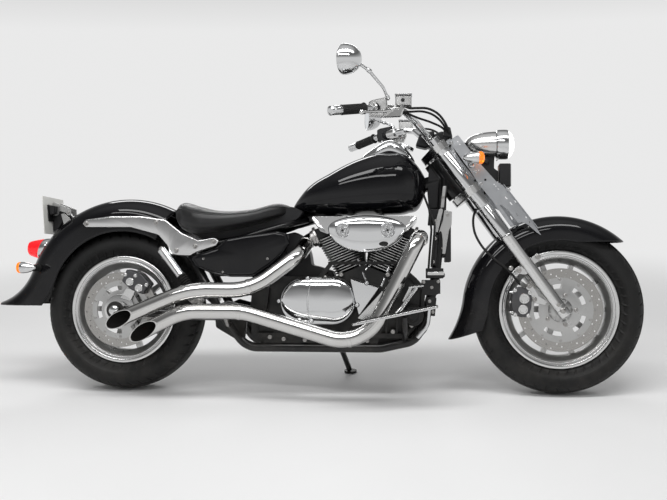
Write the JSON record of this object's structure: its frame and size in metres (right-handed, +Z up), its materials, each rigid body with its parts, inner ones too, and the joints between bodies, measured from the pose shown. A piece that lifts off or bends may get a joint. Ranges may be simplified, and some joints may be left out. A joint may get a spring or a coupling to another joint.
{
  "type": "cruiser motorcycle",
  "caption": "Low cruiser motorcycle with an air-cooled V-twin, twin right-hand exhausts, deep fenders and floorboards, leaning on its side stand; it steers and rolls",
  "frame": {"origin": "centre of the bounding box in X and Y, on the ground", "axes": "X forward, Y to the rider's left, Z up; the motorcycle leans 9 degrees to its left about X"},
  "size_m": [2.5202, 0.9499, 1.3043],
  "materials": {
    "amber_lens": "clear amber",
    "black_case": "satin black",
    "black_frame": "gloss",
    "black_paint": "gloss",
    "black_plastic": "matt",
    "cast_wheel": "satin cast",
    "chrome": "polished",
    "clear_lens": "clear",
    "dark_caliper": "satin grey",
    "disc_steel": "ground",
    "floor_steel": "rubber topped",
    "plate": "blank",
    "red_lens": "clear red",
    "rubber": "matt",
    "seat_leather": "smooth",
    "silver": "satin silver",
    "steel": "plain",
    "tyre": "matt"
  },
  "bodies": {
    "chassis": {"rear_axle": "steel", "rear_fender": "black_paint", "crankcase": "black_case", "cylinders": "black_case", "head_covers": "chrome", "air_cleaner": "chrome", "right_case_covers": "chrome", "left_case_covers": "chrome", "exhaust_upper": "chrome", "exhaust_lower": "chrome", "frame": "black_frame", "swingarm": "black_frame", "shock_absorbers": "chrome", "fender_struts": "chrome", "rear_caliper": "dark_caliper", "fuel_tank": "black_paint", "tank_console": "chrome", "seat": "seat_leather", "side_covers": "black_paint", "battery_box": "black_plastic", "tail_lamp_lens": "red_lens", "number_plate": "plate", "rear_lamp_bodies": "chrome", "rear_indicator_lenses": "amber_lens", "floorboards": "floor_steel", "foot_levers": "chrome", "oil_cooler": "black_case", "horn_and_regulator": "black_plastic"},
    "front_fork": {"triple_clamps": "silver", "fork_legs": "chrome", "fork_plates": "silver", "handlebar": "chrome", "grips": "rubber", "hand_controls": "silver", "mirrors": "chrome", "headlight_shell": "chrome", "headlight_lens": "clear_lens", "relay_box": "black_plastic", "front_indicators": "chrome", "front_indicator_lenses": "amber_lens", "front_caliper": "dark_caliper", "front_fender": "black_paint", "front_axle": "steel", "hoses": "rubber"},
    "front_wheel_body": {"front_wheel": "cast_wheel", "front_tyre": "tyre", "front_disc": "disc_steel"},
    "rear_wheel_body": {"rear_wheel": "cast_wheel", "rear_tyre": "tyre", "rear_disc": "disc_steel"},
    "side_stand_body": {"side_stand": "chrome"}
  },
  "joints": [
    {"name": "steering", "type": "hinge", "parent": "chassis", "child": "front_fork", "pos_m": [0.51453, -0.0307, 0.8077], "axis": [-0.5892, 0.1264, 0.798], "range_deg": [-35, 35]},
    {"name": "front_wheel_spin", "type": "hinge", "parent": "front_fork", "child": "front_wheel_body", "pos_m": [0.9405, -0.10841, 0.31708], "axis": [0, 0.9877, -0.1564], "continuous": true},
    {"name": "rear_wheel_spin", "type": "hinge", "parent": "chassis", "child": "rear_wheel_body", "pos_m": [-0.7465, -0.10919, 0.31214], "axis": [0, 0.9877, -0.1564], "continuous": true},
    {"name": "side_stand_fold", "type": "hinge", "parent": "chassis", "child": "side_stand_body", "pos_m": [0.07995, 0.01783, 0.17563], "axis": [0.1573, 0.862, 0.4819], "range_deg": [0, 104]}
  ]
}
